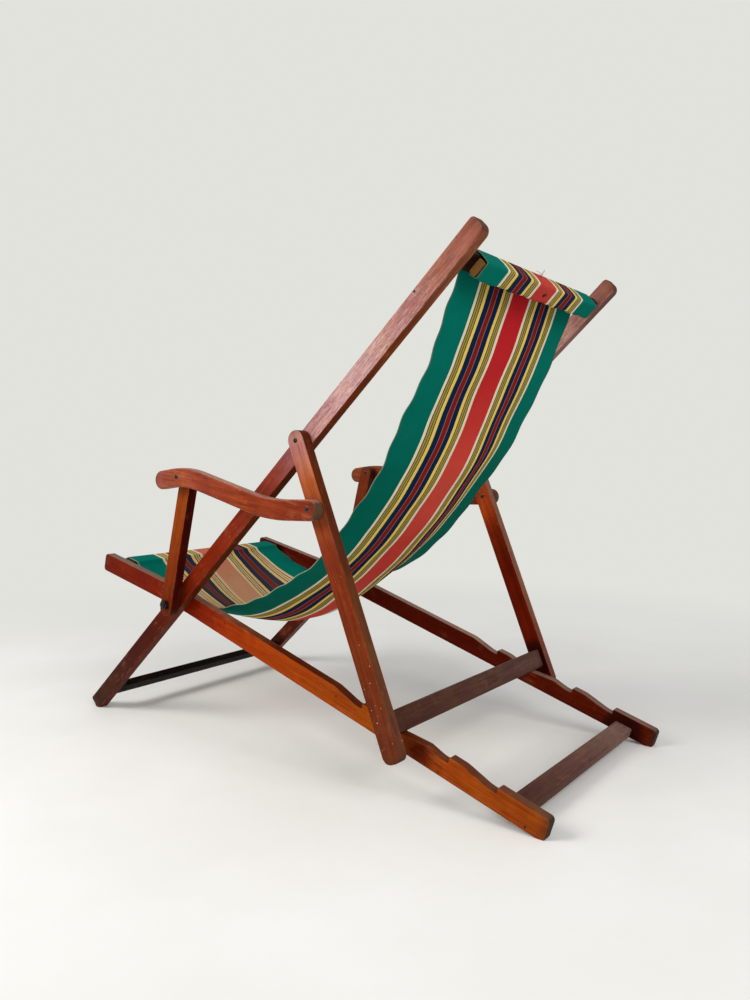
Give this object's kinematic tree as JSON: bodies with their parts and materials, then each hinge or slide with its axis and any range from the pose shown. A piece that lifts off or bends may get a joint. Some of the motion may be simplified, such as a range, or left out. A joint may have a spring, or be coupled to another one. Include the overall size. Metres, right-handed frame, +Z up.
{
  "type": "folding deck chair",
  "caption": "Wooden folding deck chair with crossed seat and back frames, a prop frame set in notched rails, pivoting armrests and a striped canvas sling hung between cross bars.",
  "frame": {"origin": "on the floor, at the bottom centre of the bounding box, with the chair set up in its second notch", "axes": "+X across the chair towards the sitter's left, +Y towards the rear so that the sitter faces -Y, +Z up"},
  "size_m": [0.6686, 1.1486, 0.9575],
  "materials": {
    "stained_wood": "worn reddish-brown varnish over open grain",
    "dark_wood": "dark brown stain, matt and worn",
    "pale_wood": "bare planed softwood",
    "striped_canvas": "woven cotton canvas with coloured stripes along its length, faded on the seat side",
    "dark_steel": "dark oxidised steel with light wear on the heads"
  },
  "bodies": {
    "back_frame": {"top_bar": "dark_wood", "foot_bar": "dark_wood", "top_batten": "pale_wood", "sling_top_roll": "striped_canvas", "sling_panel": "striped_canvas", "left_back_stile": "stained_wood", "left_pivot_bolt": "dark_steel", "left_pivot_nut": "dark_steel", "left_rail_spacer": "dark_steel", "left_post_spacer": "dark_steel", "left_prop_rivet": "dark_steel", "left_prop_spacer": "dark_steel", "right_back_stile": "stained_wood", "right_pivot_bolt": "dark_steel", "right_pivot_nut": "dark_steel", "right_rail_spacer": "dark_steel", "right_post_spacer": "dark_steel", "right_prop_rivet": "dark_steel", "right_prop_spacer": "dark_steel"},
    "seat_frame": {"front_bar": "dark_wood", "rear_bar": "dark_wood", "sling_front_roll": "striped_canvas", "left_seat_rail": "stained_wood", "right_seat_rail": "stained_wood"},
    "prop_frame": {"prop_bar": "dark_wood", "left_prop_leg": "stained_wood", "left_arm_rear_rivet": "dark_steel", "left_arm_rear_spacer": "dark_steel", "right_prop_leg": "stained_wood", "right_arm_rear_rivet": "dark_steel", "right_arm_rear_spacer": "dark_steel"},
    "left_post_arm": {"left_arm_post": "stained_wood", "left_post_rivet": "dark_steel"},
    "left_arm": {"left_armrest": "stained_wood", "left_arm_front_rivet": "dark_steel", "left_arm_front_spacer": "dark_steel"},
    "right_post_arm": {"right_arm_post": "stained_wood", "right_post_rivet": "dark_steel"},
    "right_arm": {"right_armrest": "stained_wood", "right_arm_front_rivet": "dark_steel", "right_arm_front_spacer": "dark_steel"}
  },
  "joints": [
    {"name": "seat_fold", "type": "hinge", "parent": "back_frame", "child": "seat_frame", "pos_m": [0, -0.27169, 0.277], "axis": [1, 0, 0], "range_deg": [0, 53], "deforming": ["sling_panel"]},
    {"name": "prop_fold", "type": "hinge", "parent": "back_frame", "child": "prop_frame", "pos_m": [0, 0.09444, 0.61604], "axis": [1, 0, 0], "range_deg": [0, 110]},
    {"name": "left_post_fold", "type": "hinge", "parent": "back_frame", "child": "left_post_arm", "pos_m": [0.298, -0.27169, 0.277], "axis": [1, 0, 0], "range_deg": [-33.13, 0]},
    {"name": "right_post_fold", "type": "hinge", "parent": "back_frame", "child": "right_post_arm", "pos_m": [-0.298, -0.27169, 0.277], "axis": [1, 0, 0], "range_deg": [-33.13, 0]},
    {"name": "left_arm_fold", "type": "hinge", "parent": "prop_frame", "child": "left_arm", "pos_m": [0.31, 0.14312, 0.4955], "axis": [1, 0, 0], "range_deg": [-59.42, 0]},
    {"name": "right_arm_fold", "type": "hinge", "parent": "prop_frame", "child": "right_arm", "pos_m": [-0.31, 0.14312, 0.4955], "axis": [1, 0, 0], "range_deg": [-59.42, 0]}
  ],
  "couplings": [
    {"joint": "prop_fold", "follows": "seat_fold", "ratio": 2.075},
    {"joint": "left_post_fold", "follows": "seat_fold", "ratio": -0.625},
    {"joint": "right_post_fold", "follows": "seat_fold", "ratio": -0.625},
    {"joint": "left_arm_fold", "follows": "seat_fold", "ratio": -1.121},
    {"joint": "right_arm_fold", "follows": "seat_fold", "ratio": -1.121}
  ]
}
